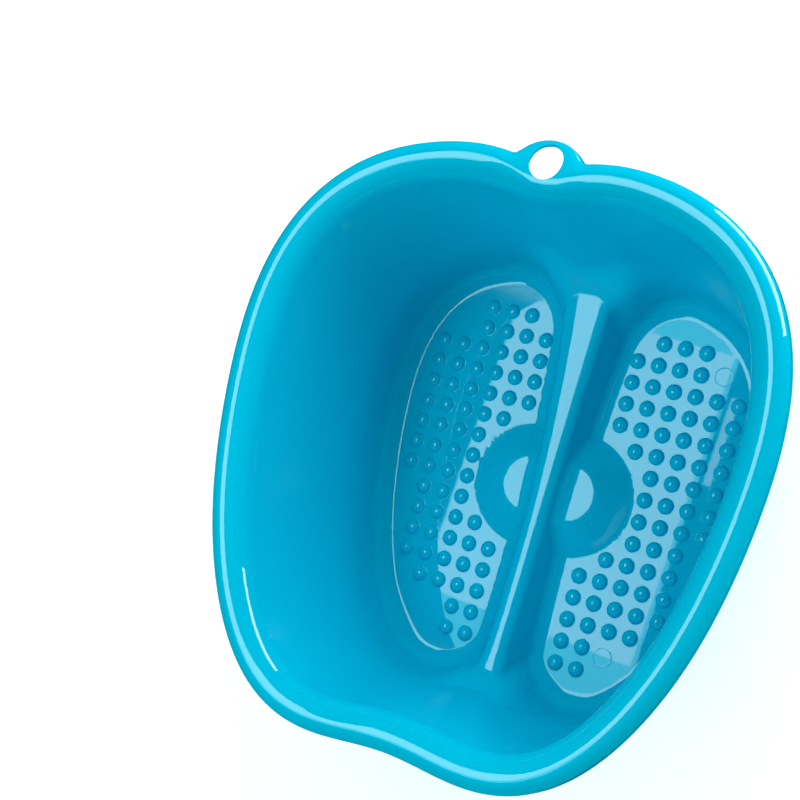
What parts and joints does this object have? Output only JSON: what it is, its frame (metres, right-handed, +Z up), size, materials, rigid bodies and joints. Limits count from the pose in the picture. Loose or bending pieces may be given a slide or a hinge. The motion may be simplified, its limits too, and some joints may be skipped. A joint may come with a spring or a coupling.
{
  "type": "foot bath",
  "caption": "Thin-walled plastic foot bath with an apple-shaped plan, a rolled rim, a hanging tab, a hollow centre ridge and two beds of massage nubs.",
  "frame": {"origin": "centre of the base rectangle, on the surface that the bath stands on", "axes": "+Z up, +Y towards the hanging tab, X across the two feet"},
  "size_m": [0.3598, 0.3878, 0.17],
  "materials": {
    "basin_plastic": "glossy moulded polypropylene, cyan blue",
    "label_paper": "printed adhesive label, satin"
  },
  "bodies": {
    "root": {"basin_wall": "basin_plastic", "rim": "basin_plastic", "hanging_tab": "basin_plastic", "footbed_left": "basin_plastic", "footbed_right": "basin_plastic", "centre_ridge": "basin_plastic", "mound_left": "basin_plastic", "mound_right": "basin_plastic", "nubs_left": "basin_plastic", "nubs_right": "basin_plastic", "label": "label_paper"}
  },
  "joints": []
}
